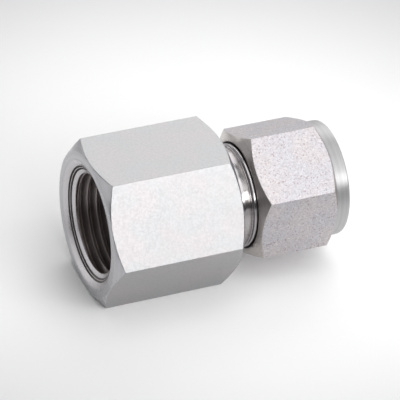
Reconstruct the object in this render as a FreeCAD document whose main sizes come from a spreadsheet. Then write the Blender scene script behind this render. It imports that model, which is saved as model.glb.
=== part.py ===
import FreeCAD, Part
import math
import os
import re

import Sketcher

# Female tube connector: a hexagon body with a tapered pipe thread in one end and a tube
# port on the other, a hexagon nut, and the two ferrules that the nut drives on to the tube.
# The axis of the fitting lies along X. X = 0 is the end face round the pipe thread, +X runs
# towards the tube, and two flats of the body's hexagon lie level, one above and one below.
# The nut is drawn finger-tight. Lengths are in millimetres and angles in degrees.

SIZES = [
    ("tube_dia", 12.7, "tube that the fitting takes, 1/2 inch"),
    ("body_hex_flats", 26.9875, "body hexagon across its flats, 1 1/16 inch"),
    ("body_hex_length", 25.3, "length of that hexagon"),
    ("end_chamfer_inset", 0.05, "from the flats in to the chamfer's circle, pipe end face"),
    ("end_chamfer_angle", 31.0, "chamfer of the pipe end, against the face"),
    ("back_chamfer_inset", 0.4, "from the flats in to the chamfer's circle, back face"),
    ("back_chamfer_angle", 30.0, "chamfer of the back end, against the face"),
    ("mouth_dia", 23.6, "countersink of the pipe thread at the end face"),
    ("mouth_angle", 120.0, "that countersink, included angle"),
    ("pipe_drill_dia", 18.26, "hole for the 1/2-14 pipe thread, 23/32 inch drill"),
    ("pipe_drill_depth", 18.3, "full diameter of that hole, from the end face"),
    ("drill_point_angle", 118.0, "point of the drill, included angle"),
    ("flow_bore_dia", 10.4, "passage between the pipe hole and the tube socket"),
    ("tube_port_length", 11.2, "neck and thread together, from the hexagon to the end"),
    ("thread_reach", 3.175, "from the tube out to the outside of the 3/4-20 thread"),
    ("thread_pitch", 1.27, "that thread, from one turn to the next"),
    ("thread_clearance", 0.05, "nut over the port's thread, all round"),
    ("thread_start_chamfer", 0.8, "chamfer at the free end of the port's thread"),
    ("thread_runout_angle", 30.0, "slope of the run-out between neck and thread"),
    ("neck_undercut", 0.075, "plain neck under the outside of the thread, all round"),
    ("neck_to_nut", 0.86, "end of the plain neck, in front of the nut"),
    ("port_lip", 0.535, "flat ring at the free end of the port, round the seat"),
    ("socket_depth", 12.15, "tube stop, from the free end of the port"),
    ("socket_clearance", 0.1, "socket round the tube, all round"),
    ("seat_angle", 20.0, "ferrule seat, against the axis"),
    ("ferrule_clearance", 0.07, "both ferrules round the tube, all round"),
    ("ferrule_seating", 0.05, "clearance between a ferrule and what it seats on"),
    ("ferrule_nose_wall", 0.3, "wall of both ferrules at the nose"),
    ("ferrule_rim_reach", 0.15, "rim of both ferrules past the mouth of the seat"),
    ("front_ferrule_length", 5.9, "front ferrule, nose to rim"),
    ("recess_share", 0.534, "recess for the back ferrule, share of the way out to the rim"),
    ("recess_angle", 45.0, "that recess, against the axis"),
    ("neck_share", 0.364, "back ferrule's neck, share of the way out to its rim"),
    ("back_neck_length", 0.72, "plain part of that neck"),
    ("back_flange_length", 0.9, "plain part of the back ferrule's flange"),
    ("drive_face_share", 0.322, "back ferrule's rear face, share of the way out to its rim"),
    ("drive_angle", 45.0, "back ferrule's rear and the nut's shoulder, to the axis"),
    ("nut_wall", 1.5875, "from the thread out to the nut's flats, 7/8 inch across"),
    ("nut_length", 17.9, "whole nut"),
    ("nut_front_inset", 0.81, "from the flats in to the chamfer's circle, front face"),
    ("nut_front_angle", 30.0, "chamfer of the front end, against the face"),
    ("nut_back_inset", 0.34, "from the flats in to the chamfer's circle, at the collar"),
    ("nut_back_angle", 33.0, "chamfer of the collar end, against the face"),
    ("nut_collar_inset", 0.43, "from the flats in to the round collar at the tube end"),
    ("nut_collar_length", 2.6, "that collar"),
    ("nut_collar_edge", 0.35, "broken outer edge of the collar"),
    ("nut_mouth_reach", 0.425, "countersink of the nut's thread, past its outside"),
    ("nut_mouth_angle", 90.0, "that countersink, included angle"),
    ("nut_thread_depth", 8.9, "nut's thread, from its front face"),
    ("nut_chamber_clearance", 0.25, "chamber round the ferrules, all round"),
    ("nut_chamber_angle", 45.0, "step from the thread to the chamber, to the axis"),
    ("nut_shoulder_depth", 12.42, "shoulder that drives the ferrules, from the front face"),
    ("nut_bore_clearance", 0.15, "nut bore round the tube, all round"),
    ("nut_bore_chamfer", 0.5, "mouth of the nut bore at the tube end"),
    ("nut_rest_turn", -24.9, "turn of the nut's hexagon from the body's"),
]

# Radii, places and lengths that follow from the sizes above. Those of the body are measured
# from its end face, those of a ferrule from its nose, and those of the nut from its front.
# The thread is drawn at its pitch radius, and its depth above and below is 0.325 of its pitch.
DERIVED = [
    ("port_end", "=body_hex_length + tube_port_length"),
    ("end_chamfer_radius", "=body_hex_flats / 2 - end_chamfer_inset"),
    ("back_chamfer_radius", "=body_hex_flats / 2 - back_chamfer_inset"),
    ("mouth_depth", "=(mouth_dia - pipe_drill_dia) / 2 / tan(mouth_angle / 2 * 1deg)"),
    ("flow_start", "=pipe_drill_depth + (pipe_drill_dia - flow_bore_dia) / 2"
     " / tan(drill_point_angle / 2 * 1deg)"),
    ("tube_stop", "=port_end - socket_depth"),
    ("socket_radius", "=tube_dia / 2 + socket_clearance"),
    ("thread_outside", "=tube_dia / 2 + thread_reach"),
    ("thread_radius", "=thread_outside - 0.325 * thread_pitch"),
    ("male_radius", "=thread_radius - thread_clearance / 2"),
    ("neck_radius", "=thread_outside - neck_undercut"),
    ("seat_radius", "=male_radius - thread_start_chamfer - port_lip"),
    ("seat_start", "=port_end - (seat_radius - socket_radius) / tan(seat_angle * 1deg)"),
    # ferrules: the wall between the nose and the rim carries the recess, neck and rear face
    ("ferrule_radius", "=tube_dia / 2 + ferrule_clearance"),
    ("nose_radius", "=ferrule_radius + ferrule_nose_wall"),
    ("rim_radius", "=seat_radius + ferrule_rim_reach"),
    ("front_cone_end", "=(rim_radius - nose_radius) / tan(seat_angle * 1deg)"),
    ("recess_radius", "=nose_radius + recess_share * (rim_radius - nose_radius)"),
    ("recess_start", "=front_ferrule_length - (recess_radius - ferrule_radius)"
     " / tan(recess_angle * 1deg)"),
    ("back_neck_radius", "=nose_radius + neck_share * (rim_radius - nose_radius)"),
    ("back_neck_start", "=(back_neck_radius - nose_radius) / tan(recess_angle * 1deg)"),
    ("back_neck_end", "=back_neck_start + back_neck_length"),
    ("flange_start", "=back_neck_end + rim_radius - back_neck_radius"),
    ("flange_end", "=flange_start + back_flange_length"),
    ("drive_face_radius", "=nose_radius + drive_face_share * (rim_radius - nose_radius)"),
    ("back_ferrule_length", "=flange_end + (rim_radius - drive_face_radius)"
     " / tan(drive_angle * 1deg)"),
    ("nut_hex_flats", "=2 * (thread_outside + nut_wall)"),
    ("nut_front_radius", "=nut_hex_flats / 2 - nut_front_inset"),
    ("nut_back_radius", "=nut_hex_flats / 2 - nut_back_inset"),
    ("nut_collar_radius", "=nut_hex_flats / 2 - nut_collar_inset"),
    ("nut_hex_length", "=nut_length - nut_collar_length"),
    ("nut_thread_radius", "=thread_radius + thread_clearance / 2"),
    ("nut_mouth_radius", "=thread_outside + nut_mouth_reach"),
    ("nut_mouth_depth", "=(nut_mouth_radius - nut_thread_radius)"
     " / tan(nut_mouth_angle / 2 * 1deg)"),
    ("nut_chamber_radius", "=rim_radius + nut_chamber_clearance"),
    ("chamber_start", "=nut_thread_depth + (nut_thread_radius - nut_chamber_radius)"
     " / tan(nut_chamber_angle * 1deg)"),
    ("nut_bore_radius", "=tube_dia / 2 + nut_bore_clearance"),
    ("shoulder_end", "=nut_shoulder_depth + (nut_chamber_radius - nut_bore_radius)"
     " / tan(drive_angle * 1deg)"),
    # where each piece comes to rest: nose in the seat, nose in the recess, nut on the flange
    ("front_ferrule_at", "=port_end - (seat_radius - ferrule_seating"
     " / cos(seat_angle * 1deg) - nose_radius) / tan(seat_angle * 1deg)"),
    ("back_ferrule_at", "=front_ferrule_at + front_ferrule_length"
     " - (recess_radius - nose_radius) / tan(recess_angle * 1deg)"
     " + ferrule_seating / sin(recess_angle * 1deg)"),
    ("nut_at", "=back_ferrule_at + flange_end - nut_chamber_clearance"
     " / tan(drive_angle * 1deg) + ferrule_seating / sin(drive_angle * 1deg)"
     " - nut_shoulder_depth"),
    ("runout_start", "=nut_at - neck_to_nut"),
    ("runout_end", "=runout_start + (neck_radius - male_radius)"
     " / tan(thread_runout_angle * 1deg)"),
]

doc = FreeCAD.newDocument("tube_connector")
sheet = doc.addObject("Spreadsheet::Sheet", "Sizes")
row = 0
for alias, value, meaning in SIZES:
    row += 1
    sheet.set(f"A{row}", alias)
    sheet.set(f"B{row}", str(value))
    sheet.set(f"C{row}", meaning)
    sheet.setAlias(f"B{row}", alias)
for alias, formula in DERIVED:
    row += 1
    sheet.set(f"A{row}", alias)
    sheet.set(f"B{row}", formula)
    sheet.setAlias(f"B{row}", alias)
doc.recompute()


def size(formula):
    """The present value of a formula in the sheet's names, in millimetres."""
    value = sheet.evalExpression(bound(formula))
    return float(getattr(value, "Value", value))


def bound(formula):
    """The formula with each name of the sheet written as Sizes.name."""
    return re.sub(r"\b[a-z]+_[a-z_]+\b", lambda name: "Sizes." + name.group(), formula)


def plane(body, role):
    """The body's own origin plane with this role."""
    return next(f for f in body.Origin.OriginFeatures if f.Role == role)


def new_sketch(body, name, role):
    sketch = body.newObject("Sketcher::SketchObject", name)
    sketch.AttachmentSupport = (plane(body, role), [""])
    sketch.MapMode = "FlatFace"
    return sketch


def profile(body, name, corners):
    """A closed outline in the axial plane: each corner is (place along the axis, radius).

    A corner that shares its place or radius with the one before is held to it by a vertical
    or level side, and every other coordinate is a dimension bound to the sheet.
    """
    sketch = new_sketch(body, name, "XZ_Plane")
    points = [FreeCAD.Vector(size(x), size(r), 0) for x, r in corners]
    count = len(points)
    for i in range(count):
        sketch.addGeometry(Part.LineSegment(points[i], points[(i + 1) % count]), False)
    for i in range(count):
        sketch.addConstraint(Sketcher.Constraint("Coincident", i, 2, (i + 1) % count, 1))
    for i, (x, r) in enumerate(corners):
        last_x, last_r = corners[i - 1]
        if i and x == last_x:
            sketch.addConstraint(Sketcher.Constraint("Vertical", i - 1))
        elif x == "0":
            sketch.addConstraint(Sketcher.Constraint("PointOnObject", i, 1, -2))
        else:
            at = sketch.addConstraint(Sketcher.Constraint("DistanceX", -1, 1, i, 1, points[i].x))
            sketch.setExpression(f"Constraints[{at}]", bound(x))
        if i and r == last_r:
            sketch.addConstraint(Sketcher.Constraint("Horizontal", i - 1))
        elif r == "0":
            sketch.addConstraint(Sketcher.Constraint("PointOnObject", i, 1, -1))
        else:
            at = sketch.addConstraint(Sketcher.Constraint("DistanceY", -1, 1, i, 1, points[i].y))
            sketch.setExpression(f"Constraints[{at}]", bound(r))
    return sketch


def turned(body, name, corners, kind):
    """Revolve an outline about the axis, to add (Revolution) or to cut (Groove)."""
    sketch = profile(body, name + "_outline", corners)
    feature = body.newObject("PartDesign::" + kind, name)
    feature.Profile = sketch
    feature.ReferenceAxis = (sketch, ["H_Axis"])
    feature.Angle = 360.0
    doc.recompute()
    return feature


def hexagon(body, name, flats, length):
    """Pad a regular hexagon along the axis, with two corners level with it."""
    sketch = new_sketch(body, name + "_section", "YZ_Plane")
    radius = size(flats) / math.sqrt(3)
    turn = [math.radians(60 * i) for i in range(6)]
    points = [FreeCAD.Vector(radius * math.cos(a), radius * math.sin(a), 0) for a in turn]
    for i in range(6):
        sketch.addGeometry(Part.LineSegment(points[i], points[(i + 1) % 6]), False)
    centre = FreeCAD.Vector(0, 0, 0)
    sketch.addGeometry(Part.Circle(centre, FreeCAD.Vector(0, 0, 1), radius), True)
    sketch.addConstraint(Sketcher.Constraint("Coincident", 6, 3, -1, 1))
    for i in range(6):
        sketch.addConstraint(Sketcher.Constraint("Coincident", i, 2, (i + 1) % 6, 1))
        sketch.addConstraint(Sketcher.Constraint("PointOnObject", i, 1, 6))
    for i in range(5):
        sketch.addConstraint(Sketcher.Constraint("Equal", i, i + 1))
    sketch.addConstraint(Sketcher.Constraint("PointOnObject", 0, 1, -1))
    at = sketch.addConstraint(Sketcher.Constraint("Diameter", 6, 2 * radius))
    sketch.setExpression(f"Constraints[{at}]", bound(f"{flats} / cos(30deg)"))
    pad = body.newObject("PartDesign::Pad", name)
    pad.Profile = sketch
    pad.setExpression("Length", bound(length))
    doc.recompute()
    return pad


def hex_chamfer(body, name, face, inwards, circle, angle, flats):
    """Turn the corners of a hexagon down to a cone that meets its end face on a circle."""
    outer = f"({flats} / cos(30deg) / 2 + 1)"
    reach = f"({outer} - {circle}) * tan({angle} * 1deg)"
    far = f"{face} {inwards} {reach}"
    corners = [(face, circle), (face, outer), (far, outer)]
    return turned(body, name, corners, "Groove")


# Body: hexagon with both ends turned, neck and tube port behind it, and one bore through.
body = doc.addObject("PartDesign::Body", "body")
body.Label = "body"
hexagon(body, "body_hexagon", "body_hex_flats", "body_hex_length")
hex_chamfer(body, "pipe_end_chamfer", "0", "+", "end_chamfer_radius", "end_chamfer_angle",
            "body_hex_flats")
hex_chamfer(body, "back_end_chamfer", "body_hex_length", "-", "back_chamfer_radius",
            "back_chamfer_angle", "body_hex_flats")
turned(body, "tube_port", [
    ("body_hex_length", "0"),
    ("body_hex_length", "neck_radius"),
    ("runout_start", "neck_radius"),
    ("runout_end", "male_radius"),
    ("port_end - thread_start_chamfer", "male_radius"),
    ("port_end", "male_radius - thread_start_chamfer"),
    ("port_end", "0"),
], "Revolution")
turned(body, "through_bore", [
    ("0", "0"),
    ("0", "mouth_dia / 2"),
    ("mouth_depth", "pipe_drill_dia / 2"),
    ("pipe_drill_depth", "pipe_drill_dia / 2"),
    ("flow_start", "flow_bore_dia / 2"),
    ("tube_stop", "flow_bore_dia / 2"),
    ("tube_stop", "socket_radius"),
    ("seat_start", "socket_radius"),
    ("port_end", "seat_radius"),
    ("port_end", "0"),
], "Groove")

# Front ferrule: a cone that the body's seat closes on the tube, with a recess behind.
front_ferrule = doc.addObject("PartDesign::Body", "front_ferrule")
front_ferrule.Label = "front_ferrule"
turned(front_ferrule, "front_ring", [
    ("0", "ferrule_radius"),
    ("0", "nose_radius"),
    ("front_cone_end", "rim_radius"),
    ("front_ferrule_length", "rim_radius"),
    ("front_ferrule_length", "recess_radius"),
    ("recess_start", "ferrule_radius"),
], "Revolution")
front_ferrule.setExpression("Placement.Base.x", bound("front_ferrule_at"))

# Back ferrule: a nose that fits the recess, and a flange that the nut's shoulder drives.
back_ferrule = doc.addObject("PartDesign::Body", "back_ferrule")
back_ferrule.Label = "back_ferrule"
turned(back_ferrule, "back_ring", [
    ("0", "ferrule_radius"),
    ("0", "nose_radius"),
    ("back_neck_start", "back_neck_radius"),
    ("back_neck_end", "back_neck_radius"),
    ("flange_start", "rim_radius"),
    ("flange_end", "rim_radius"),
    ("back_ferrule_length", "drive_face_radius"),
    ("back_ferrule_length", "ferrule_radius"),
], "Revolution")
back_ferrule.setExpression("Placement.Base.x", bound("back_ferrule_at"))

# Nut: hexagon with both ends turned, round collar, thread, ferrule chamber and tube bore.
nut = doc.addObject("PartDesign::Body", "nut")
nut.Label = "nut"
hexagon(nut, "nut_hexagon", "nut_hex_flats", "nut_hex_length")
hex_chamfer(nut, "nut_front_chamfer", "0", "+", "nut_front_radius", "nut_front_angle",
            "nut_hex_flats")
hex_chamfer(nut, "nut_back_chamfer", "nut_hex_length", "-", "nut_back_radius",
            "nut_back_angle", "nut_hex_flats")
turned(nut, "nut_collar", [
    ("nut_hex_length", "0"),
    ("nut_hex_length", "nut_collar_radius"),
    ("nut_length - nut_collar_edge", "nut_collar_radius"),
    ("nut_length", "nut_collar_radius - nut_collar_edge"),
    ("nut_length", "0"),
], "Revolution")
turned(nut, "nut_bore", [
    ("0", "0"),
    ("0", "nut_mouth_radius"),
    ("nut_mouth_depth", "nut_thread_radius"),
    ("nut_thread_depth", "nut_thread_radius"),
    ("chamber_start", "nut_chamber_radius"),
    ("nut_shoulder_depth", "nut_chamber_radius"),
    ("shoulder_end", "nut_bore_radius"),
    ("nut_length - nut_bore_chamfer", "nut_bore_radius"),
    ("nut_length", "nut_bore_radius + nut_bore_chamfer"),
    ("nut_length", "0"),
], "Groove")
nut.Placement = FreeCAD.Placement(
    FreeCAD.Vector(0, 0, 0), FreeCAD.Rotation(FreeCAD.Vector(1, 0, 0), size("nut_rest_turn"))
)
nut.setExpression("Placement.Base.x", bound("nut_at"))
doc.recompute()

pieces = [body, front_ferrule, back_ferrule, nut]
for thing in doc.Objects:
    if "Invalid" in thing.State or "Error" in thing.State:
        raise RuntimeError(f"{thing.Name} did not build: {thing.State}")
os.makedirs("parts", exist_ok=True)
for piece in pieces:
    shape = piece.Shape
    if shape.isNull() or not shape.isValid() or len(shape.Solids) != 1:
        raise RuntimeError(f"{piece.Label} is not one valid solid")
    box = shape.BoundBox
    print(f"{piece.Label}: {shape.Volume:.1f} mm3, x {box.XMin:.3f} to {box.XMax:.3f}")
for piece in pieces:
    piece.Shape.exportStep(f"parts/{piece.Label}.step")
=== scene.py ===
import math

import bpy
from mathutils import Matrix, Vector


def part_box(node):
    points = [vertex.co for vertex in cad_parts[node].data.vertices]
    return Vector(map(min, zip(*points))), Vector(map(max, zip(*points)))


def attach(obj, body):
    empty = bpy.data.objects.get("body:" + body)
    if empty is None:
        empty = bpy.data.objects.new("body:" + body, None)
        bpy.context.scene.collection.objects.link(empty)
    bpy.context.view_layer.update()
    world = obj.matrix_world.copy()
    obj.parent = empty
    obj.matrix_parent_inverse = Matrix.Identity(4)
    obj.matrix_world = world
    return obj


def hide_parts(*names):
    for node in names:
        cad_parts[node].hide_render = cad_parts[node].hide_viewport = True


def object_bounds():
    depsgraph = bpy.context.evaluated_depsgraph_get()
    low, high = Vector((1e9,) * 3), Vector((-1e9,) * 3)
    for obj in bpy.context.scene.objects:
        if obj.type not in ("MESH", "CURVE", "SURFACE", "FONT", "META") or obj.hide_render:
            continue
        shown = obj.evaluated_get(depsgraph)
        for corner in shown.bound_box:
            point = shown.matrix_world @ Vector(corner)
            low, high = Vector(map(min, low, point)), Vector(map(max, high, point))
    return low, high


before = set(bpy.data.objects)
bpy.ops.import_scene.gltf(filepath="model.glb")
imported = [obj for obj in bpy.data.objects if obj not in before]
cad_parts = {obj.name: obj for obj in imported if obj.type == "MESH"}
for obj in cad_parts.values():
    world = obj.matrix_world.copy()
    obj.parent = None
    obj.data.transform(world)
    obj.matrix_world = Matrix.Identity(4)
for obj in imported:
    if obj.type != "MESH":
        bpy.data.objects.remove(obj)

# Female tube connector in stainless steel: a hexagon body with a tapered pipe thread in one
# end and a tube port on the other, a hexagon nut, and the two ferrules inside. The axis of the
# fitting lies along X, with X = 0 at the end face round the pipe thread. Every piece is turned,
# so each is one skin: an outline carried round the axis, whose hexagon, cone and thread corners
# are worked out afresh at every angle. Angles run from +Y over the top. Lengths are in metres.

bl_info = {
    "name": "Female tube connector",
    "version": (1, 0, 0),
    "blender": (4, 5, 0),
    "location": "View3D > Sidebar > Connector",
    "description": "Builds the body, nut, ferrules and studio of a female tube connector",
    "category": "Object",
}

MM = 0.001
FULL_TURN = 2.0 * math.pi
SIXTH = FULL_TURN / 6.0

# Points nearer to each other than this, in metres, are one point.
SAME_POINT = 1e-8

CAD_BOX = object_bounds()
BODY_LOW, BODY_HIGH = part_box("body")
NUT_LOW, NUT_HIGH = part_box("nut")
FRONT_LOW, FRONT_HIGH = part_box("front_ferrule")
BACK_LOW, BACK_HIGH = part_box("back_ferrule")

# How finely the meshes are divided: along a hexagon's side, over its corner, round a ferrule,
# over a rounding in an outline and down a thread's flank.
SIDE_STEPS = 32
CORNER_STEPS = (-1.0, -0.5, 0.0, 0.5, 1.0)
RING_STEPS = 144
EASE_STEPS = 2
FLANK_STEPS = 3

# A 60 degree thread's flank runs this far along the axis for each step in radius, and the pipe
# thread's radius falls by this much for each step along the axis.
FLANK_SLOPE = math.tan(math.radians(30.0))
PIPE_TAPER = 1.0 / 32.0

# How far each rounding in an outline reaches along the faces beside it.
BODY_EASE = 0.12 * MM
NUT_EASE = 0.1 * MM
TURNED_EASE = 0.06 * MM
NUT_MOUTH_EASE = 0.04 * MM
SCORE_EASE = 0.03 * MM
THREAD_EASE = 0.05 * MM
PIPE_EASE = 0.07 * MM

# The scores deepen and fade out along these shares of a turn, counted from -Y and round by
# the underside.
SCORE_DEEPENS = (0.12, 0.32)
SCORE_FADES = (0.74, 0.8)

# How strongly large faces hold the shading beside small ones, where 50 is even.
FACE_WEIGHT = 60

# Grain of the finishes, in features to the metre, and how deep their dents are.
FINE_GRAIN = 7000.0
MOTTLE = 2300.0
BLUSH_CLOUDS = 210.0
DRAWN_LINES = 3400.0
SPECKS = 3000.0
FINE_RINGS = 9000.0
BROAD_RINGS = 1500.0
POLISH_CLOUDS = 260.0
DENT = 0.02 * MM
FINE_DENT = 0.01 * MM

# The levels of a noise at which a pattern begins and is full, from soft to sharp, and those
# that leave only its peaks.
SOFT_LEVELS = (0.3, 0.7)
MID_LEVELS = (0.35, 0.65)
SHARP_LEVELS = (0.4, 0.6)
PEAK_LEVELS = (0.58, 0.72)

# How far a finish's roughness strays below and above its own.
FLAT_STRAYS = (0.02, 0.03)
TURNED_STRAYS = (0.015, 0.02)

# How strongly the drawn lines and the grain dent the flats, and the squeeze along X that makes
# the lines long.
LINES_CUT = 0.12
GRAIN_CUT = 0.28
LINES_SQUEEZE = (0.18, 1.0, 1.0)

# How far highlights stretch across the lathe's rings, from 0 to 1.
RING_SPREAD = 0.72

# Each softbox: azimuth and elevation in degrees, width and height in metres, and how bright a
# mirror would show it. All stand equally far from the middle of the part.
SOFTBOX_DISTANCE = 0.9
SOFTBOXES = {
    "low_front_softbox": (22.0, 26.0, 0.9, 0.22, 6.2),
    "front_softbox": (26.0, 50.0, 0.8, 0.45, 1.9),
    "low_back_softbox": (150.0, 30.0, 0.8, 0.35, 1.8),
    "back_softbox": (148.0, 50.0, 0.6, 0.3, 1.7),
    "top_softbox": (60.0, 82.0, 0.7, 0.7, 1.6),
}

# How bright the surround is low down in front, low down behind and higher up, and between
# which parts of a unit step along Y and along Z it changes over.
AIR_FRONT = 0.08
AIR_BACK = 1.35
AIR_SKY = 0.3
AIR_TURN = (-0.1, 0.3)
AIR_RISE = (0.12, 0.36)

# The floor is palest round this place, out to the first distance, and darkest past the second, a
# painted shade of the light falling off away from the part. The last is half its side, in metres.
PALE_X = 32.0 * MM
PALE_Y = 17.0 * MM
PALE_TO = 30.0 * MM
DARK_FROM = 110.0 * MM
FLOOR_HALF = 3.0


def length(name, millimetres, description):
    """A size that a user can change, shown in the scene's units."""
    return bpy.props.FloatProperty(
        name=name, description=description, default=millimetres * MM, min=0.0,
        unit="LENGTH", precision=5)


def degrees(name, value, description):
    return bpy.props.FloatProperty(
        name=name, description=description, default=math.radians(value), subtype="ANGLE")


def share(name, value, description):
    return bpy.props.FloatProperty(
        name=name, description=description, default=value, min=0.0, max=1.0,
        subtype="FACTOR")


def colour(name, value, description):
    return bpy.props.FloatVectorProperty(
        name=name, description=description, default=value, min=0.0, max=1.0, size=3,
        subtype="COLOR")


class ThreadSizes(bpy.types.PropertyGroup):
    """The straight thread between port and nut, and the tapered pipe thread."""
    pitch: length("Pitch", 1.27, "Port thread, from one turn to the next")
    crest: length("Crest radius", 9.45, "Port thread, radius over the crests")
    root: length("Root radius", 8.745, "Port thread, radius at the roots")
    crest_flat: length("Crest flat", 0.2, "Port thread, flat on top of a crest")
    nut_minor: length("Nut minor radius", 8.9, "Nut thread, radius over its crests")
    nut_gap: length("Thread gap", 0.09, "Nut thread outside the port thread, all round")
    first_crest: length("First crest", 29.62, "Place of a crest of the port thread, level")
    pipe_pitch: length("Pipe pitch", 25.4 / 14.0, "Pipe thread, 14 turns to the inch")
    pipe_root: length("Pipe root radius", 10.61, "Pipe thread, root radius at the end face")
    pipe_crest: length("Pipe crest radius", 9.16, "Pipe thread, crest radius at the end face")
    pipe_flat: length("Pipe root flat", 0.08, "Pipe thread, half the flat at a root")
    pipe_first: length("First pipe groove", 1.12, "Place of a groove of the pipe thread, level")
    pipe_full: length("Full pipe thread", 13.0, "Depth to which the pipe thread is full")
    pipe_fade: length("End of pipe thread", 17.4, "Depth at which the pipe thread has faded out")
    port_start: length("Port thread start", 0.2, "Port thread, from the rim to its first cut")
    port_full: length("Port thread full", 1.2, "Port thread, from the rim to its full depth")
    nut_full: length("Nut thread full", 1.6, "Nut thread, from its end to its full depth")
    nut_fade: length("Nut thread fade", 0.5, "Nut thread, from its end to its last cut")
    stop: length("Thread stop", 0.05, "How far short of an end face a thread stops")


class BodySizes(bpy.types.PropertyGroup):
    """The hexagon body, its neck and port, and the bore through it."""
    flats: length("Across flats", (BODY_HIGH.z - BODY_LOW.z) / MM, "Hexagon across its flats")
    corner: length("Corner rounding", 0.12, "Radius on the long edges of the hexagon")
    hexagon: length("Hexagon length", 25.3, "Length of the hexagon")
    end_inset: length("End chamfer inset", 0.05, "From the flats in to the end face's circle")
    end_angle: degrees("End chamfer angle", 31.0, "Chamfer of the pipe end, against the face")
    back_inset: length("Back chamfer inset", 0.4, "From the flats in to the back face's circle")
    back_angle: degrees("Back chamfer angle", 30.0, "Chamfer of the back, against the face")
    mouth: length("Mouth radius", 11.8, "Countersink of the pipe thread at the end face")
    mouth_angle: degrees("Mouth angle", 60.0, "Half the included angle of the countersink")
    drill: length("Drill radius", 9.13, "Hole that the pipe thread is cut in")
    lip: length("Lip radius", 9.26, "Inner edge of the countersink")
    thread_start: length("Thread start", 1.66, "Where the pipe thread starts")
    score: length("Score radius", 10.7, "Outer of the two fine scores in the countersink")
    score_width: length("Score width", 0.34, "One score, edge to edge")
    score_gap: length("Score gap", 0.09, "Countersink left between the two scores")
    score_depth: length("Score depth", 0.36, "Each score, from the countersink's face")
    face_score: length("Face score radius", 12.05, "Fine line cut in the end face")
    face_score_depth: length("Face score depth", 0.07, "Depth of that line, and half its width")
    drill_depth: length("Drill depth", 18.3, "Full diameter of the hole, from the end face")
    drill_plain: length("Plain drill end", 0.2, "End of that hole past the thread's rows")
    drill_point: degrees("Drill point", 59.0, "Half the included angle of the drill point")
    flow: length("Passage radius", 5.2, "Passage between the pipe hole and the tube socket")
    neck: length("Neck radius", 9.5, "Plain neck behind the hexagon")
    root_face: length("Root face", 0.35, "Faces on both sides of the neck's root")
    neck_shoulder: length("Neck shoulder", 27.1, "Where the neck starts to fall off")
    neck_end: length("Neck end", 28.35, "Where the run-out groove begins")
    neck_small: length("Small neck radius", 9.28, "Neck beside the run-out groove")
    groove: length("Groove radius", 9.18, "Bottom of the run-out groove")
    groove_width: length("Groove width", 0.38, "Run-out groove, edge to edge")
    groove_slope: length("Groove slope", 0.16, "Run-out groove, up to the rim")
    rim: length("Rim radius", 9.6, "Plain rim in front of the port thread")
    rim_edge: length("Rim edge", 0.1, "Broken edges of the rim and the groove")
    rim_chamfer: length("Rim chamfer", 0.15, "Chamfer of the rim beside the groove")
    rim_end: length("Rim end", 29.5, "Where the plain rim gives way to the port thread")
    port_end: length("Port end", BODY_HIGH.x / MM, "Free end of the port")
    start_radius: length("Port end radius", 8.275, "Outside of the port's flat end ring")
    seat: length("Seat radius", 7.74, "Mouth of the ferrule seat")
    seat_angle: degrees("Seat angle", 20.0, "Ferrule seat, against the axis")
    socket: length("Socket radius", 6.45, "Socket for the tube")
    socket_depth: length("Socket depth", 12.15, "Tube stop, from the free end of the port")


class NutSizes(bpy.types.PropertyGroup):
    """The hexagon nut, its collar, thread and ferrule chamber."""
    turn: degrees("Rest turn", -24.9, "Turn of the nut's hexagon from the body's")
    front: length("Front face", NUT_LOW.x / MM, "Place of the nut's front face")
    end: length("Collar end", NUT_HIGH.x / MM, "Place of the collar's end")
    flats: length("Across flats", 22.225, "Hexagon across its flats")
    corner: length("Corner rounding", 0.1, "Radius on the long edges of the hexagon")
    collar_length: length("Collar length", 2.6, "Round collar at the tube end")
    collar: length("Collar radius", 10.6825, "Round collar at the tube end")
    collar_edge: length("Collar edge", 0.4, "Rounding of the collar's outer edge")
    collar_root: length("Collar root", 0.5, "Plain start of the collar, beside the hexagon")
    front_inset: length("Front inset", 0.81, "From the flats in to the front face's circle")
    front_angle: degrees("Front chamfer", 30.0, "Chamfer of the front, against the face")
    back_inset: length("Back inset", 0.34, "From the flats in to the chamfer's circle")
    back_angle: degrees("Back chamfer", 33.0, "Chamfer at the collar, against the face")
    mouth: length("Mouth radius", 9.95, "Countersink in front of the nut's thread")
    thread_depth: length("Thread depth", 8.9, "Nut's thread, from its front face")
    thread_plain: length("Plain thread end", 0.3, "End of the thread's hole, left uncut")
    pitch_radius: length("Thread radius", 9.1372, "Nut's thread at mid depth")
    chamber: length("Chamber radius", 8.1423, "Chamber round the ferrules")
    shoulder: length("Shoulder depth", 12.42, "Shoulder that drives the ferrules")
    bore: length("Bore radius", 6.5, "Bore round the tube")
    bore_chamfer: length("Bore chamfer", 0.5, "Mouth of the bore at the tube end")


class FerruleSizes(bpy.types.PropertyGroup):
    """The two rings that the nut drives on to the tube."""
    bore: length("Bore radius", 6.42, "Both ferrules round the tube")
    nose: length("Nose radius", 6.72, "Outside of both ferrules at the nose")
    rim: length("Rim radius", FRONT_HIGH.z / MM, "Outside of both ferrules at the rim")
    recess: length("Recess radius", 7.345, "Recess in the front ferrule's rim")
    neck: length("Neck radius", 7.146, "Neck of the back ferrule")
    neck_length: length("Neck length", 0.72, "Plain part of that neck")
    flange: length("Flange length", 0.9, "Plain part of the back ferrule's flange")
    rear: length("Rear face radius", 7.097, "Flat rear face of the back ferrule")


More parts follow.
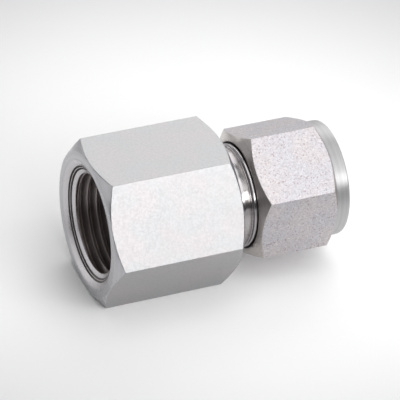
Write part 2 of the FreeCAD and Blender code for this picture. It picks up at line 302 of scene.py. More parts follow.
class SteelLook(bpy.types.PropertyGroup):
    """Colours and roughness of the steel, piece by piece."""
    body_flat: colour("Body flats", (0.43, 0.432, 0.438), "Drawn flats of the body's hexagon")
    body_blush: colour("Body blush", (0.45, 0.43, 0.436), "Faint warm clouds on those flats")
    nut_flat: colour("Nut flats", (0.602, 0.608, 0.642), "Pickled flats of the nut's hexagon")
    nut_blush: colour("Nut blush", (0.638, 0.614, 0.618), "Faint warm clouds on those flats")
    nut_pit: colour("Nut speckle", (0.30, 0.235, 0.245), "Fine dark speckle on the nut's flats")
    turned: colour("Turned steel", (0.50, 0.497, 0.518), "End face and chamfers of the body")
    nut_turned: colour("Nut chamfers", (0.56, 0.525, 0.50), "Chamfers and faces of the nut")
    # The nut's inside is coloured dark as painted shade in its thread, chamber and mouth.
    nut_inner: colour("Nut inside", (0.16, 0.145, 0.14), "Thread and chamber of the nut")
    collar: colour("Collar", (0.55, 0.546, 0.552), "Round collar of the nut")
    polished: colour("Polished steel", (0.43, 0.41, 0.415), "Neck and port thread")
    mouth: colour("Mouth", (0.58, 0.56, 0.575), "Countersink in front of the pipe thread")
    bore: colour("Bore", (0.42, 0.375, 0.365), "Pipe thread and the bore behind it")
    ferrule: colour("Ferrules", (0.70, 0.69, 0.68), "Both ferrules")
    flat_roughness: share("Flats", 0.44, "Roughness of the hexagon flats")
    turned_roughness: share("Turned", 0.28, "Roughness of the turned faces")
    polished_roughness: share("Polished", 0.2, "Roughness of the neck and port thread")
    bore_roughness: share("Bore", 0.36, "Roughness of the pipe thread and the bore")
    score_roughness: share("Scores", 0.5, "Roughness inside the scores of the countersink")
    collar_roughness: share("Collar", 0.5, "Roughness of the nut's collar")
    inner_roughness: share("Nut inside", 0.45, "Roughness inside the nut")
    ferrule_roughness: share("Ferrules", 0.2, "Roughness of the ferrules")


class StudioLook(bpy.types.PropertyGroup):
    """Camera, lights and floor."""
    azimuth: degrees("Azimuth", -25.409, "Camera round the part, from straight in front")
    elevation: degrees("Elevation", 35.727, "Camera above the horizon")
    roll: degrees("Roll", 4.101, "Camera about its own line of sight")
    distance: length("Distance", 609.611, "Camera from the plane of the end face's centre")
    across: length("Across", 20.337, "Camera to the right of the end face's centre")
    above: length("Above", 4.483, "Camera above the end face's centre")
    lens: length("Lens", 306.48, "Focal length on a 36 mm sensor")
    floor: colour("Floor", (0.97, 0.97, 0.97), "Floor round the part")
    # Painted shade: the floor darkens towards this colour away from the part.
    floor_edge: colour("Floor edge", (0.55, 0.55, 0.56), "Floor away from the part")


def settings():
    return bpy.context.scene.tube_connector


def toward(corner, other, reach):
    """The point this far from corner on the way to other, and never past the middle."""
    run_x = other[0] - corner[0]
    run_r = other[1] - corner[1]
    whole = math.hypot(run_x, run_r)
    if whole < SAME_POINT:
        return corner[:2]
    part = min(reach, 0.45 * whole) / whole
    return corner[0] + part * run_x, corner[1] + part * run_r


def eased(corners, reach):
    """Round every inner corner of an open outline of (place, radius, finish) corners.

    The finish is that of the face which starts at the corner. Each corner becomes the same
    number of points, so that the outlines at all angles match row by row.
    """
    path = [corners[0]]
    for before, corner, after in zip(corners, corners[1:], corners[2:]):
        arrive = toward(corner, before, reach)
        leave = toward(corner, after, reach)
        for step in range(EASE_STEPS + 1):
            t = step / EASE_STEPS
            weights = ((1 - t) ** 2, 2 * t * (1 - t), t * t)
            points = (arrive, corner, leave)
            place = sum(w * p[0] for w, p in zip(weights, points))
            radius = sum(w * p[1] for w, p in zip(weights, points))
            path.append((place, radius, before[2] if 2 * t < 1 else corner[2]))
    path.append(corners[-1])
    return path


class Turned:
    """A stretch of outline whose rows lie square to the axis."""
    lead_rows = 0

    def __init__(self, corners, reach):
        self.corners = corners
        self.reach = reach

    def rows(self, angle):
        corners = self.corners(angle) if callable(self.corners) else self.corners
        return eased(corners, self.reach)


class Threaded:
    """A stretch of outline whose rows wind round the axis, one lead to the turn.

    groove(centre) gives the outline of one groove as (offset, radius) points with falling
    offsets, and limit(place, radius) trims it to the faces that cross it. The rows begin two
    turns before the start and run on past the end, so that every angle is covered.
    """

    def __init__(self, start, end, pitch, level, groove, limit, finish):
        self.start = start
        self.end = end
        self.pitch = pitch
        self.level = level
        self.groove = groove
        self.limit = limit
        self.finish = finish
        self.way = 1 if end > start else -1
        self.lead_rows = self.way * len(groove(start))
        self.turns = math.ceil(abs(end - start) / pitch) + 3

    def rows(self, angle):
        low, high = sorted((self.start, self.end))
        first = math.floor((self.start - self.level) / self.pitch) - 2 * self.way
        path = []
        for turn in range(self.turns + 1):
            centre = self.level + self.pitch * (first + self.way * turn + angle / FULL_TURN)
            points = self.groove(centre)
            if self.way > 0:
                points = points[::-1]
            for offset, radius in points:
                place = min(max(centre + offset, low), high)
                path.append((place, self.limit(place, radius), self.finish))
        return path


def thread_groove(pitch, root_flat, root, land, softness):
    """One groove of a 60 degree thread between two lands, as (offset, radius) points.

    It is held just narrower than the pitch, so that a sliver of land stays beside it.
    """
    half = min(root_flat + abs(root - land) * FLANK_SLOPE, 0.49 * pitch)
    corners = [(0.5 * pitch, land, 0)]
    for side in (1, -1):
        near, far = (half, root_flat) if side > 0 else (root_flat, half)
        from_radius, to_radius = (land, root) if side > 0 else (root, land)
        for step in range(FLANK_STEPS + 1):
            t = step / FLANK_STEPS
            offset = side * (near + (far - near) * t)
            corners.append((offset, from_radius + (to_radius - from_radius) * t, 0))
    corners.append((-0.5 * pitch, land, 0))
    path = eased(corners, softness)
    return [(offset, radius) for offset, radius, _ in path[:-1]]


def place_rows(column, angle, vertices):
    """Add one angle's rows to the vertices, and give their numbers, stretch by stretch.

    Rows that fall on each other, such as those of a thread past its end, share a vertex.
    """
    cos, sin = math.cos(angle), math.sin(angle)
    numbers = []
    last = None
    for rows in column:
        line = []
        for place, radius, _ in rows:
            if last is None or math.dist(last, (place, radius)) > SAME_POINT:
                vertices.append((place, radius * cos, radius * sin))
                last = (place, radius)
            line.append(len(vertices) - 1)
        numbers.append(line)
    if math.dist(last, column[0][0][:2]) < SAME_POINT:
        first, final = numbers[0][0], numbers[-1][-1]
        numbers[-1] = [first if n == final else n for n in numbers[-1]]
    return numbers


def without_repeats(corners):
    """The ring of corners, with none twice in a row."""
    ring = []
    for corner in corners:
        if not ring or corner != ring[-1]:
            ring.append(corner)
    if ring[0] == ring[-1]:
        ring.pop()
    return ring


def join_columns(columns, numbers, stretches):
    """Faces from each angle to the next, and the finish of each.

    At the last angle a thread's rows meet the rows of the first angle that are one turn on.
    """
    faces = []
    marks = []
    count = len(columns)
    for i in range(count):
        here, there = numbers[i], numbers[(i + 1) % count]
        for k, stretch in enumerate(stretches):
            slip = stretch.lead_rows if i == count - 1 else 0
            top = len(here[k]) - 1
            for j in range(top):
                a = min(max(j + slip, 0), top)
                b = min(max(j + 1 + slip, 0), top)
                ring = without_repeats((here[k][j], there[k][a], there[k][b], here[k][j + 1]))
                if len(ring) > 2 and len(set(ring)) == len(ring):
                    faces.append(ring)
                    marks.append(columns[i][k][j][2])
    return faces, marks


def skin(name, angles, stretches, finishes):
    """Carry the outline round the axis and join it into one closed mesh."""
    columns = [[stretch.rows(angle) for stretch in stretches] for angle in angles]
    vertices = []
    numbers = [place_rows(column, angle, vertices) for angle, column in zip(angles, columns)]
    faces, marks = join_columns(columns, numbers, stretches)
    used = sorted({n for face in faces for n in face})
    order = {n: i for i, n in enumerate(used)}
    mesh = bpy.data.meshes.new(name)
    mesh.from_pydata([vertices[n] for n in used], [],
                     [[order[n] for n in face] for face in faces])
    names = list(finishes)
    for material in finishes.values():
        mesh.materials.append(material)
    for polygon, mark in zip(mesh.polygons, marks):
        polygon.material_index = names.index(mark)
        polygon.use_smooth = True
    mesh.validate()
    mesh.update()
    thing = bpy.data.objects.new(name, mesh)
    bpy.context.collection.objects.link(thing)
    even = thing.modifiers.new("face_weighted_shading", "WEIGHTED_NORMAL")
    even.weight = FACE_WEIGHT
    even.keep_sharp = False
    return thing


def corner_arc(flats, corner):
    """Distance from the axis to the centre of a rounded corner, and half the angle it spans."""
    inner = (flats / 2 - corner) / math.cos(SIXTH / 2)
    edge = math.atan2(corner * math.sin(SIXTH / 2), inner + corner * math.cos(SIXTH / 2))
    return inner, edge


def hexagon_angles(turn, flats, corner):
    """Angles round a hexagon: close together over its rounded corners, even on its flats."""
    _, edge = corner_arc(flats, corner)
    angles = []
    for side in range(6):
        middle = turn + side * SIXTH
        angles += [middle + step * edge for step in CORNER_STEPS]
        span = SIXTH - 2 * edge
        angles += [middle + edge + span * i / SIDE_STEPS for i in range(1, SIDE_STEPS)]
    start = angles[0]
    return [start + (angle - start) % FULL_TURN for angle in angles]


def hexagon_radius(angle, turn, flats, corner):
    """Distance from the axis to the hexagon's side, or to its rounded corner."""
    from_corner = (angle - turn + SIXTH / 2) % SIXTH - SIXTH / 2
    inner, edge = corner_arc(flats, corner)
    if abs(from_corner) > edge:
        return flats / 2 / math.cos(SIXTH / 2 - abs(from_corner))
    depth = corner ** 2 - (inner * math.sin(from_corner)) ** 2
    return inner * math.cos(from_corner) + math.sqrt(max(depth, 0.0))


def ramp(value, start, end):
    """0 at start, 1 at end and a straight line between."""
    return min(max((value - start) / (end - start), 0.0), 1.0)


def body_stretches(sizes, thread):
    groove_end = sizes.neck_end + sizes.groove_width
    start_cone = sizes.port_end + sizes.start_radius
    port_trim = sizes.port_end - thread.stop
    mouth_rise = 1.0 / math.tan(sizes.mouth_angle)
    tube_stop = sizes.port_end - sizes.socket_depth
    seat_start = sizes.port_end - (sizes.seat - sizes.socket) / math.tan(sizes.seat_angle)
    flow_start = sizes.drill_depth + (sizes.drill - sizes.flow) / math.tan(sizes.drill_point)
    bore_trim = sizes.drill_depth - sizes.drill_plain
    rim_end = sizes.rim_end
    root_edge = sizes.neck + sizes.root_face
    end_circle = sizes.flats / 2 - sizes.end_inset
    face_middle = (0.0, (sizes.mouth + end_circle) / 2, "turned")

    def hexagon(angle):
        side = hexagon_radius(angle, 0.0, sizes.flats, sizes.corner)
        back_circle = sizes.flats / 2 - sizes.back_inset
        return [
            face_middle,
            (0.0, end_circle, "turned"),
            ((side - end_circle) * math.tan(sizes.end_angle), side, "flat"),
            (sizes.hexagon - (side - back_circle) * math.tan(sizes.back_angle), side, "turned"),
            (sizes.hexagon, back_circle, "turned"),
            (sizes.hexagon, root_edge, "turned"),
        ]

    neck = [
        (sizes.hexagon, root_edge, "polished"),
        (sizes.hexagon, sizes.neck, "polished"),
        (sizes.hexagon + sizes.root_face, sizes.neck, "polished"),
        (sizes.neck_shoulder, sizes.neck, "polished"),
        (sizes.neck_end, sizes.neck_small, "polished"),
        (sizes.neck_end + sizes.rim_edge, sizes.groove, "polished"),
        (groove_end - sizes.groove_slope, sizes.groove, "polished"),
        (groove_end, sizes.rim - sizes.rim_edge, "polished"),
        (groove_end + sizes.rim_chamfer, sizes.rim, "polished"),
        (rim_end - sizes.rim_edge, sizes.rim, "polished"),
        (rim_end, thread.crest, "polished"),
    ]

    def port_groove(centre):
        full = ramp(centre, rim_end + thread.port_start, rim_end + thread.port_full)
        depth = thread.crest - thread.root
        root_flat = (thread.pitch - thread.crest_flat) / 2 - depth * FLANK_SLOPE
        root = thread.crest - full * depth
        return thread_groove(thread.pitch, root_flat, root, thread.crest, THREAD_EASE)

    def port_limit(place, radius):
        if place <= rim_end:
            return thread.crest
        return min(radius, start_cone - place)

    tube_port = [
        (port_trim, start_cone - port_trim, "polished"),
        (sizes.port_end, sizes.start_radius, "turned"),
        (sizes.port_end, sizes.seat, "turned"),
        (seat_start, sizes.socket, "turned"),
        (tube_stop, sizes.socket, "turned"),
        (tube_stop, sizes.flow, "bore"),
        (flow_start, sizes.flow, "bore"),
        (sizes.drill_depth, sizes.drill, "bore"),
        (bore_trim, sizes.drill, "bore"),
    ]

    def pipe_groove(centre):
        taper = centre * PIPE_TAPER
        land = max(sizes.drill, thread.pipe_crest - taper)
        root = thread.pipe_root - taper
        root -= (root - land) * ramp(centre, thread.pipe_full, thread.pipe_fade)
        return thread_groove(thread.pipe_pitch, thread.pipe_flat, root, land, PIPE_EASE)

    def pipe_limit(place, radius):
        if place <= sizes.thread_start:
            return sizes.drill
        return max(radius, sizes.drill)

    def countersink(radius, depth, finish):
        """A corner this deep under the countersink's face."""
        place = (sizes.mouth - radius) * mouth_rise
        sunk = (place + depth * math.sin(sizes.mouth_angle),
                radius + depth * math.cos(sizes.mouth_angle))
        return (*sunk, finish)

    def mouth(angle):
        around = (angle + math.pi) % FULL_TURN / FULL_TURN
        full = ramp(around, *SCORE_DEEPENS) - ramp(around, *SCORE_FADES)
        corners = [(sizes.thread_start, sizes.drill, "bore"),
                   countersink(sizes.lip, 0.0, "mouth")]
        for outer in (sizes.score - sizes.score_width - sizes.score_gap, sizes.score):
            inner = outer - sizes.score_width
            # Each score's faces take the dark score finish, painted shade.
            corners.append(countersink(inner, 0.0, "score"))
            corners.append(countersink((inner + outer) / 2, full * sizes.score_depth, "score"))
            corners.append(countersink(outer, 0.0, "mouth"))
        line = sizes.face_score_depth
        return corners + [
            (0.0, sizes.mouth, "turned"),
            (0.0, sizes.face_score - line, "turned"),
            (line, sizes.face_score, "turned"),
            (0.0, sizes.face_score + line, "turned"),
            face_middle,
        ]

    crest_middle = thread.first_crest + thread.pitch / 2
    return [
        Turned(hexagon, BODY_EASE),
        Turned(neck, BODY_EASE),
        Threaded(rim_end, port_trim, thread.pitch, crest_middle, port_groove, port_limit,
                 "polished"),
        Turned(tube_port, TURNED_EASE),
        Threaded(bore_trim, sizes.thread_start, thread.pipe_pitch, thread.pipe_first, pipe_groove,
                 pipe_limit, "bore"),
        Turned(mouth, SCORE_EASE),
    ]


def nut_stretches(sizes, thread):
    front, end = sizes.front, sizes.end
    hexagon_end = end - sizes.collar_length
    collar_start = hexagon_end + sizes.collar_root
    mouth_trim = front + thread.stop
    mouth_cone = sizes.mouth + front
    shoulder = front + sizes.shoulder
    shoulder_end = shoulder + sizes.chamber - sizes.bore
    step_cone = front + sizes.thread_depth + sizes.pitch_radius
    thread_end = step_cone - thread.nut_minor - sizes.thread_plain

    def hexagon(angle):
        side = hexagon_radius(angle, sizes.turn, sizes.flats, sizes.corner)
        front_circle = sizes.flats / 2 - sizes.front_inset
        back_circle = sizes.flats / 2 - sizes.back_inset
        back_slope = math.tan(sizes.back_angle)
        return [
            (front, (sizes.mouth + front_circle) / 2, "turned"),
            (front, front_circle, "turned"),
            (front + (side - front_circle) * math.tan(sizes.front_angle), side, "flat"),
            (hexagon_end - (side - back_circle) * back_slope, side, "turned"),
            (hexagon_end, back_circle, "turned"),
            (hexagon_end, sizes.collar, "collar"),
            (collar_start, sizes.collar, "collar"),
        ]

    collar = [
        (collar_start, sizes.collar, "collar"),
        (end, sizes.collar, "turned"),
        (end, (sizes.collar + sizes.bore) / 2, "turned"),
    ]
    bore = [
        (end, (sizes.collar + sizes.bore) / 2, "turned"),
        (end, sizes.bore + sizes.bore_chamfer, "turned"),
        (end - sizes.bore_chamfer, sizes.bore, "turned"),
        # From here in, the nut's inside takes the dark inner finish, which is painted shade.
        (shoulder_end, sizes.bore, "inner"),
        (shoulder, sizes.chamber, "inner"),
        (step_cone - sizes.chamber, sizes.chamber, "inner"),
        (step_cone - thread.nut_minor, thread.nut_minor, "inner"),
        (thread_end, thread.nut_minor, "inner"),
    ]

    def nut_groove(centre):
        outside = thread.crest + thread.nut_gap
        fade = 1.0 - ramp(centre, thread_end - thread.nut_full, thread_end - thread.nut_fade)
        root = thread.nut_minor + fade * (outside - thread.nut_minor)
        root_flat = thread.crest_flat / 2 + thread.nut_gap / 2
        return thread_groove(thread.pitch, root_flat, root, thread.nut_minor, THREAD_EASE)

    def nut_limit(place, radius):
        return max(radius, mouth_cone - place)

    # The deep part of the nut's countersink takes the dark inner finish too, painted shade in the
    # gap.
    mouth = [
        (mouth_trim, mouth_cone - mouth_trim, "inner"),
        (front, sizes.mouth, "turned"),
        (front, (sizes.mouth + sizes.flats / 2 - sizes.front_inset) / 2, "turned"),
    ]
    return [
        Turned(hexagon, NUT_EASE),
        Turned(collar, sizes.collar_edge),
        Turned(bore, TURNED_EASE),
        # The nut's thread takes the dark inner finish, painted shade.
        Threaded(thread_end, mouth_trim, thread.pitch, thread.first_crest, nut_groove,
                 nut_limit, "inner"),
        Turned(mouth, NUT_MOUTH_EASE),
    ]


def front_ferrule_outline(sizes, seat_angle):
    nose, rim = FRONT_LOW.x, FRONT_HIGH.x
    cone_end = nose + (sizes.rim - sizes.nose) / math.tan(seat_angle)
    middle = (nose + rim) / 2
    return [
        (middle, sizes.bore, "ring"),
        (nose, sizes.bore, "ring"),
        (nose, sizes.nose, "ring"),
        (cone_end, sizes.rim, "ring"),
        (rim, sizes.rim, "ring"),
        (rim, sizes.recess, "ring"),
        (rim - (sizes.recess - sizes.bore), sizes.bore, "ring"),
        (middle, sizes.bore, "ring"),
    ]


def back_ferrule_outline(sizes):
    nose, rear = BACK_LOW.x, BACK_HIGH.x
    neck_start = nose + sizes.neck - sizes.nose
    neck_end = neck_start + sizes.neck_length
    flange_start = neck_end + sizes.rim - sizes.neck
    middle = (nose + rear) / 2
    return [
        (middle, sizes.bore, "ring"),
        (nose, sizes.bore, "ring"),
        (nose, sizes.nose, "ring"),
        (neck_start, sizes.neck, "ring"),
        (neck_end, sizes.neck, "ring"),
        (flange_start, sizes.rim, "ring"),
        (flange_start + sizes.flange, sizes.rim, "ring"),
        (rear, sizes.rear, "ring"),
        (rear, sizes.bore, "ring"),
        (middle, sizes.bore, "ring"),
    ]


class Recipe:
    """A material's node tree, with short calls for the nodes that the finishes share."""

    def __init__(self, name):
        self.material = bpy.data.materials.new(name)
        self.material.use_nodes = True
        self.tree = self.material.node_tree
        self.surface = self.tree.nodes["Principled BSDF"]

    def node(self, kind, **values):
        made = self.tree.nodes.new("ShaderNode" + kind)
        for key, value in values.items():
            setattr(made, key, value)
        return made

    def join(self, source, target):
        self.tree.links.new(source, target)

    def place(self):
        return self.node("TexCoord").outputs["Object"]

    def stretched(self, vector, scale):
        """The vector, with each axis multiplied."""
        made = self.node("VectorMath", operation="MULTIPLY")
        self.join(vector, made.inputs[0])
        made.inputs[1].default_value = scale
        return made.outputs[0]

    def rings(self):
        """Place along the axis and distance from it, so that a pattern runs round the part."""
        place = self.place()
        split = self.node("SeparateXYZ")
        self.join(place, split.inputs[0])
        flat = self.stretched(place, (0.0, 1.0, 1.0))
        away = self.node("VectorMath", operation="LENGTH")
        self.join(flat, away.inputs[0])
        made = self.node("CombineXYZ")
        self.join(split.outputs["X"], made.inputs["X"])
        self.join(away.outputs["Value"], made.inputs["Y"])
        return made.outputs[0]

    def grain(self, vector, scale, detail=2.0, roughness=0.5):
        made = self.node("TexNoise")
        self.join(vector, made.inputs["Vector"])
        made.inputs["Scale"].default_value = scale
        made.inputs["Detail"].default_value = detail
        made.inputs["Roughness"].default_value = roughness
        return made.outputs["Fac"]

    def between(self, value, levels, to_low, to_high):
        """Carry the value from these two levels to the two that follow, with soft ends."""
        made = self.node("MapRange", interpolation_type="SMOOTHSTEP")
        self.join(value, made.inputs["Value"])
        for key, number in zip(("From Min", "From Max", "To Min", "To Max"),
                               (*levels, to_low, to_high)):
            made.inputs[key].default_value = number
        return made.outputs["Result"]

    def mixed(self, amount, first, second):
        """A colour between two, each a colour or a socket."""
        made = self.node("Mix", data_type="RGBA")
        self.join(amount, made.inputs["Factor"])
        for key, value in (("A", first), ("B", second)):
            socket = next(s for s in made.inputs if s.name == key and s.type == "RGBA")
            if isinstance(value, bpy.types.NodeSocket):
                self.join(value, socket)
            else:
                socket.default_value = (*value, 1.0)
        return next(s for s in made.outputs if s.type == "RGBA")

    def dented(self, height, strength, distance, below=None):
        made = self.node("Bump")
        made.inputs["Strength"].default_value = strength
        made.inputs["Distance"].default_value = distance
        self.join(height, made.inputs["Height"])
        if below is not None:
            self.join(below, made.inputs["Normal"])
        return made.outputs["Normal"]

    def spread_rings(self, amount):
        """Stretch highlights across the rings that the lathe leaves."""
        around = self.node("Tangent", direction_type="RADIAL", axis="X")
        self.join(around.outputs["Tangent"], self.surface.inputs["Tangent"])
        self.surface.inputs["Anisotropic"].default_value = amount
        self.surface.inputs["Anisotropic Rotation"].default_value = 0.25

    def finish(self, colour_socket, roughness, normal):
        self.surface.inputs["Metallic"].default_value = 1.0
        self.join(colour_socket, self.surface.inputs["Base Color"])
        self.join(roughness, self.surface.inputs["Roughness"])
        self.join(normal, self.surface.inputs["Normal"])
        return self.material


def toned(tint, factor):
    """The colour with each channel multiplied."""
    return tuple(factor * channel for channel in tint)


def flat_steel(name, tint, blush, pit, roughness, pitted, uneven):
    """Drawn and pickled flats: an even mottled grain, faint clouds of blush and dark specks."""
    recipe = Recipe(name)
    place = recipe.place()
    fine = recipe.grain(place, FINE_GRAIN, 2.0, 0.6)
    mottle = recipe.grain(place, MOTTLE, 3.0, 0.6)
    clouds = recipe.grain(place, BLUSH_CLOUDS, 2.0)
    drawn = recipe.grain(recipe.stretched(place, LINES_SQUEEZE), DRAWN_LINES)
    specks = recipe.between(recipe.grain(place, SPECKS, 1.0), PEAK_LEVELS, 0.0, pitted)
    blushed = recipe.mixed(recipe.between(clouds, SHARP_LEVELS, 0.0, 1.0), tint, blush)
    dim = recipe.mixed(recipe.between(mottle, MID_LEVELS, 0.0, uneven), blushed,
                       toned(tint, 0.7))
    grained = recipe.mixed(recipe.between(fine, MID_LEVELS, 0.0, uneven), dim,
                           toned(pit, 1.1))
    shaded = recipe.mixed(specks, grained, pit)
    below, above = FLAT_STRAYS
    rough = recipe.between(mottle, SOFT_LEVELS, roughness - below, roughness + above)
    scratched = recipe.dented(drawn, LINES_CUT, DENT)
    normal = recipe.dented(fine, GRAIN_CUT, DENT, scratched)
    return recipe.finish(shaded, rough, normal)


def turned_steel(name, tint, roughness, cut):
    """Faces cut on the lathe: fine rings round the axis, and a slightly uneven polish."""
    recipe = Recipe(name)
    rings = recipe.rings()
    fine = recipe.grain(rings, FINE_RINGS, 1.0)
    broad = recipe.grain(rings, BROAD_RINGS, 2.0)
    clouds = recipe.grain(recipe.place(), POLISH_CLOUDS, 3.0)
    tinted = recipe.mixed(recipe.between(broad, SOFT_LEVELS, 0.0, 1.0), toned(tint, 0.88), tint)
    below, above = TURNED_STRAYS
    rough = recipe.between(clouds, SOFT_LEVELS, roughness - below, roughness + above)
    ridges = recipe.dented(broad, cut, DENT)
    normal = recipe.dented(fine, cut, FINE_DENT, ridges)
    recipe.spread_rings(RING_SPREAD)
    return recipe.finish(tinted, rough, normal)


def body_finishes(look):
    pit = toned(look.body_flat, 0.75)
    # The scores' colour is the bore's darkened: painted shade in the grooves, which stays even
    # where a score fades to no depth.
    scored = toned(look.bore, 0.36)
    return {
        "flat": flat_steel("body_flats", look.body_flat, look.body_blush, pit,
                           look.flat_roughness, pitted=0.15, uneven=0.2),
        "turned": turned_steel("body_turned", look.turned, look.turned_roughness, cut=0.25),
        "polished": turned_steel("body_polished", look.polished, look.polished_roughness,
                                 cut=0.06),
        "mouth": turned_steel("body_mouth", look.mouth, look.turned_roughness, cut=0.2),
        "score": turned_steel("body_scores_painted_shade", scored, look.score_roughness, cut=0.3),
        "bore": turned_steel("body_bore", look.bore, look.bore_roughness, cut=0.3),
    }


def nut_finishes(look):
    return {
        "flat": flat_steel("nut_flats", look.nut_flat, look.nut_blush, look.nut_pit,
                           look.flat_roughness, pitted=0.75, uneven=0.5),
        "turned": turned_steel("nut_turned", look.nut_turned, look.turned_roughness, cut=0.25),
        "collar": turned_steel("nut_collar", look.collar, look.collar_roughness, cut=0.08),
        # Inside the nut: a dark colour as painted shade.
        "inner": turned_steel("nut_inner", look.nut_inner, look.inner_roughness, cut=0.3),
    }


def dress(thing, body, node):
    """Put a piece on its body in place of its CAD node."""
    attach(thing, body)
    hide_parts(node)


class TUBE_CONNECTOR_OT_body(bpy.types.Operator):
    """Build the hexagon body with its port, bore and both threads"""
    bl_idname = "tube_connector.body"
    bl_label = "Body"

    def execute(self, context):
        own = settings()
        angles = hexagon_angles(0.0, own.body.flats, own.body.corner)
        stretches = body_stretches(own.body, own.thread)
        thing = skin("connector_body", angles, stretches, body_finishes(own.steel))
        dress(thing, "fitting_body", "body")
        return {"FINISHED"}


class TUBE_CONNECTOR_OT_nut(bpy.types.Operator):
    """Build the hexagon nut with its collar, thread and ferrule chamber"""
    bl_idname = "tube_connector.nut"
    bl_label = "Nut"

    def execute(self, context):
        own = settings()
        angles = hexagon_angles(own.nut.turn, own.nut.flats, own.nut.corner)
        stretches = nut_stretches(own.nut, own.thread)
        thing = skin("coupling_nut", angles, stretches, nut_finishes(own.steel))
        dress(thing, "nut", "nut")
        return {"FINISHED"}


class TUBE_CONNECTOR_OT_ferrules(bpy.types.Operator):
    """Build the front and the back ferrule"""
    bl_idname = "tube_connector.ferrules"
    bl_label = "Ferrules"

    def execute(self, context):
        own = settings()
        outlines = {
            "front_ferrule": front_ferrule_outline(own.ferrule, own.body.seat_angle),
            "back_ferrule": back_ferrule_outline(own.ferrule),
        }
        look = own.steel
        steel = turned_steel("ferrule_turned", look.ferrule, look.ferrule_roughness, cut=0.15)
        angles = [FULL_TURN * i / RING_STEPS for i in range(RING_STEPS)]
        for node, outline in outlines.items():
            thing = skin(node + "_ring", angles, [Turned(outline, TURNED_EASE)],
                         {"ring": steel})
            dress(thing, "ferrules", node)
        return {"FINISHED"}


def soft_light(name, azimuth, elevation, width, height, brightness):
    """A softbox that faces the part. Brightness is what a mirror would show of it."""
    lamp = bpy.data.lights.new(name, "AREA")
    lamp.shape = "RECTANGLE"
    lamp.size = width
    lamp.size_y = height
    lamp.energy = brightness * math.pi * width * height
    thing = bpy.data.objects.new(name, lamp)
    bpy.context.collection.objects.link(thing)
    a, e = math.radians(azimuth), math.radians(elevation)
    outwards = Vector((math.sin(a) * math.cos(e), -math.cos(a) * math.cos(e), math.sin(e)))
    middle = (CAD_BOX[0] + CAD_BOX[1]) / 2
    thing.location = middle + outwards * SOFTBOX_DISTANCE
    thing.rotation_euler = outwards.to_track_quat("Z", "Y").to_euler()


def studio_floor(look):
    """A wide pale floor under the flat that the body lies on, whitest round the part."""
    level = BODY_LOW.z
    half = FLOOR_HALF
    mesh = bpy.data.meshes.new("studio_floor")
    corners = [(-half, -half, level), (half, -half, level), (half, half, level),
               (-half, half, level)]
    mesh.from_pydata(corners, [], [(0, 1, 2, 3)])
    thing = bpy.data.objects.new("studio_floor", mesh)
    bpy.context.collection.objects.link(thing)
    recipe = Recipe("floor_paint")
    away = recipe.node("VectorMath", operation="DISTANCE")
    recipe.join(recipe.place(), away.inputs[0])
    away.inputs[1].default_value = (PALE_X, PALE_Y, level)
    # Painted shade: the floor darkens from its pale colour to its edge colour away from the part.
    outer = recipe.between(away.outputs["Value"], (PALE_TO, DARK_FROM), 0.0, 1.0)
    recipe.join(recipe.mixed(outer, look.floor, look.floor_edge),
                recipe.surface.inputs["Base Color"])
    recipe.surface.inputs["Roughness"].default_value = 0.9
    recipe.surface.inputs["Specular IOR Level"].default_value = 0.1
    mesh.materials.append(recipe.material)


def studio_air():
    """A pale surround: dark low down in front, bright low down behind, even higher up."""
    world = bpy.data.worlds.new("studio_air")
    world.use_nodes = True
    bpy.context.scene.world = world
    tree = world.node_tree
    air = tree.nodes["Background"]
    air.inputs["Color"].default_value = (1.0, 1.0, 1.0, 1.0)
    way = tree.nodes.new("ShaderNodeTexCoord")
    split = tree.nodes.new("ShaderNodeSeparateXYZ")
    tree.links.new(way.outputs["Generated"], split.inputs[0])
    low = tree.nodes.new("ShaderNodeMapRange")
    high = tree.nodes.new("ShaderNodeMapRange")
    for made, numbers in ((low, (*AIR_TURN, AIR_FRONT, AIR_BACK)),
                          (high, (*AIR_RISE, AIR_FRONT, AIR_SKY))):
        made.interpolation_type = "SMOOTHSTEP"
        for key, number in zip(("From Min", "From Max", "To Min", "To Max"), numbers):
            made.inputs[key].default_value = number
    tree.links.new(split.outputs["Y"], low.inputs["Value"])
    tree.links.new(split.outputs["Z"], high.inputs["Value"])
    tree.links.new(low.outputs["Result"], high.inputs["To Min"])
    tree.links.new(high.outputs["Result"], air.inputs["Strength"])


def studio_camera(look):
    camera = bpy.data.cameras.new("studio_camera")
    camera.sensor_width = 36.0
    camera.lens = look.lens / MM
    camera.clip_start = 0.01
    camera.clip_end = 20.0
    thing = bpy.data.objects.new("studio_camera", camera)
    bpy.context.collection.objects.link(thing)
    a, e = look.azimuth, look.elevation
    back = Vector((math.sin(a) * math.cos(e), -math.cos(a) * math.cos(e), math.sin(e)))
    level = Vector((math.cos(a), math.sin(a), 0.0))
    upright = back.cross(level)
    right = math.cos(look.roll) * level + math.sin(look.roll) * upright
    up = math.cos(look.roll) * upright - math.sin(look.roll) * level
    place = look.across * right + look.above * up + look.distance * back
    turn = Matrix((right, up, back)).transposed().to_4x4()
    thing.matrix_world = Matrix.Translation(place) @ turn
    bpy.context.scene.camera = thing


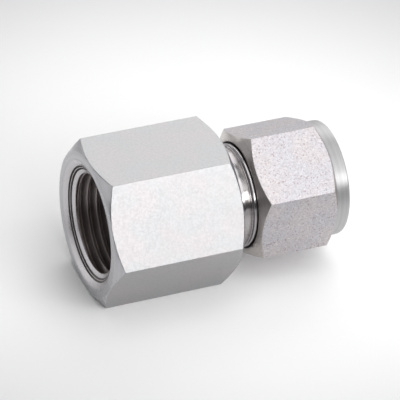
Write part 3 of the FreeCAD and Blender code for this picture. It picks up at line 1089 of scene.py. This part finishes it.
class TUBE_CONNECTOR_OT_studio(bpy.types.Operator):
    """Set up the floor, the lights and the camera"""
    bl_idname = "tube_connector.studio"
    bl_label = "Studio"

    def execute(self, context):
        look = settings().studio
        context.scene.view_settings.view_transform = "Standard"
        studio_floor(look)
        studio_air()
        for name, place in SOFTBOXES.items():
            soft_light(name, *place)
        studio_camera(look)
        return {"FINISHED"}


class ConnectorSettings(bpy.types.PropertyGroup):
    """All the sizes and looks of the connector."""
    thread: bpy.props.PointerProperty(type=ThreadSizes)
    body: bpy.props.PointerProperty(type=BodySizes)
    nut: bpy.props.PointerProperty(type=NutSizes)
    ferrule: bpy.props.PointerProperty(type=FerruleSizes)
    steel: bpy.props.PointerProperty(type=SteelLook)
    studio: bpy.props.PointerProperty(type=StudioLook)


class TUBE_CONNECTOR_PT_panel(bpy.types.Panel):
    """The operators, and the sizes and colours that they use"""
    bl_idname = "TUBE_CONNECTOR_PT_panel"
    bl_label = "Female tube connector"
    bl_space_type = "VIEW_3D"
    bl_region_type = "UI"
    bl_category = "Connector"

    def draw(self, context):
        own = context.scene.tube_connector
        for operator, groups in PANEL_ROWS:
            box = self.layout.box()
            box.operator(operator)
            for group in groups:
                sizes = getattr(own, group)
                for name in sizes.__annotations__:
                    box.prop(sizes, name)


PANEL_ROWS = (
    ("tube_connector.body", ("body", "thread")),
    ("tube_connector.nut", ("nut",)),
    ("tube_connector.ferrules", ("ferrule",)),
    ("tube_connector.studio", ("studio", "steel")),
)

CLASSES = (
    ThreadSizes,
    BodySizes,
    NutSizes,
    FerruleSizes,
    SteelLook,
    StudioLook,
    ConnectorSettings,
    TUBE_CONNECTOR_OT_body,
    TUBE_CONNECTOR_OT_nut,
    TUBE_CONNECTOR_OT_ferrules,
    TUBE_CONNECTOR_OT_studio,
    TUBE_CONNECTOR_PT_panel,
)


def register():
    for each in CLASSES:
        bpy.utils.register_class(each)
    bpy.types.Scene.tube_connector = bpy.props.PointerProperty(type=ConnectorSettings)


def unregister():
    del bpy.types.Scene.tube_connector
    for each in reversed(CLASSES):
        bpy.utils.unregister_class(each)


def main():
    register()
    bpy.ops.tube_connector.body()
    bpy.ops.tube_connector.nut()
    bpy.ops.tube_connector.ferrules()
    bpy.ops.tube_connector.studio()


if __name__ == "__main__":
    main()
